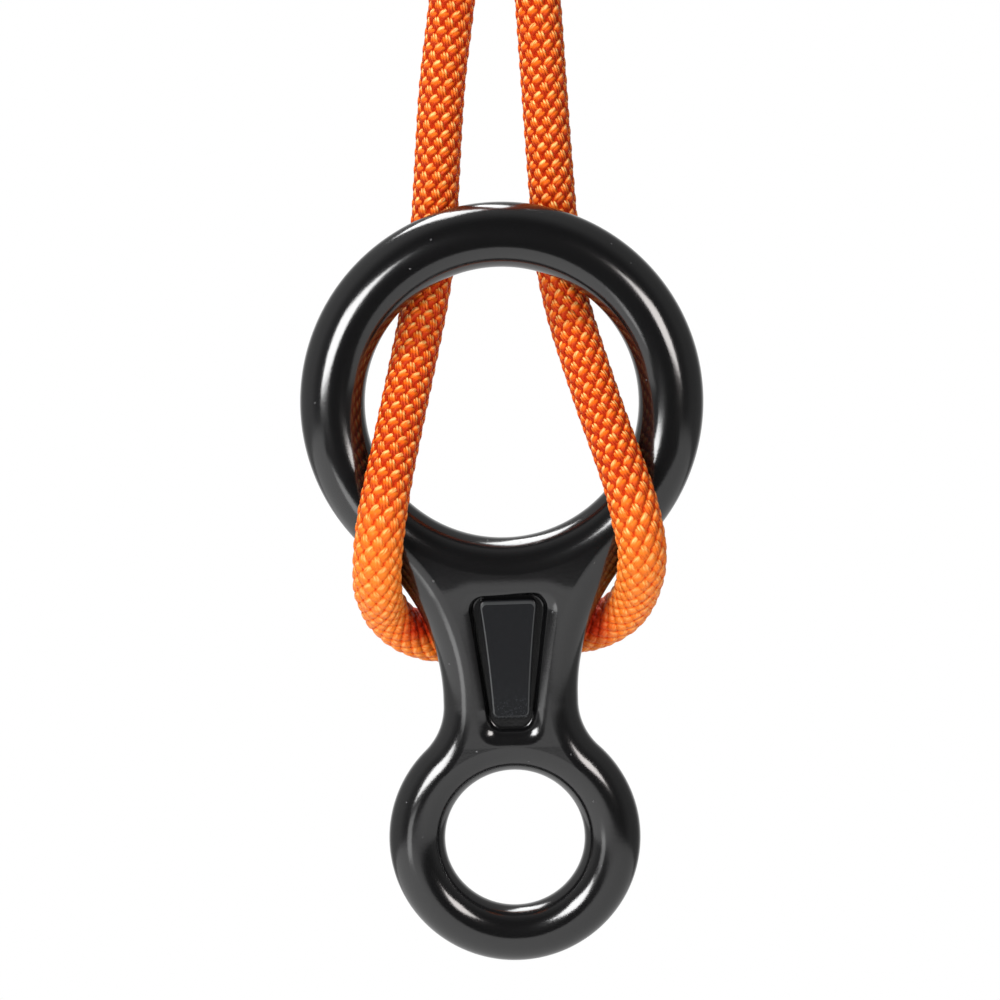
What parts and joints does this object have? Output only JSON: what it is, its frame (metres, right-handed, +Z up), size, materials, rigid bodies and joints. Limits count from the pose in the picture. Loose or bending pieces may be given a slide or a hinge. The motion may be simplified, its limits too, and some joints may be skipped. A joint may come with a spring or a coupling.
{
  "type": "figure eight descender",
  "caption": "Forged figure eight descender hanging on a rope threaded through its large ring and round its neck, with a sewn thimble eye above.",
  "frame": {"origin": "top of the thimble's bore at the middle of its width, where the hook or pin above bears", "axes": "+Z up along the hanging rope, -Y towards the side the descender's plate faces, +X to the right seen from there"},
  "size_m": [0.08, 0.0369, 0.3247],
  "materials": {
    "black_anodised": "gloss black anodised forging",
    "satin_plate": "satin black plate, bare",
    "orange_sheath": "braided polyamide sheath, bright orange",
    "white_core": "twisted polyamide core, off-white",
    "stainless": "turned stainless steel",
    "shrink_tube": "matte black shrink tube",
    "black_thread": "bonded black thread"
  },
  "bodies": {
    "root": {"descender_body": "black_anodised", "name_plate": "satin_plate", "rope_sheath": "orange_sheath", "rope_core": "white_core", "eye_thimble": "stainless", "seam_sleeve": "shrink_tube", "seam_stitch_front": "black_thread", "seam_stitch_back": "black_thread"}
  },
  "joints": []
}
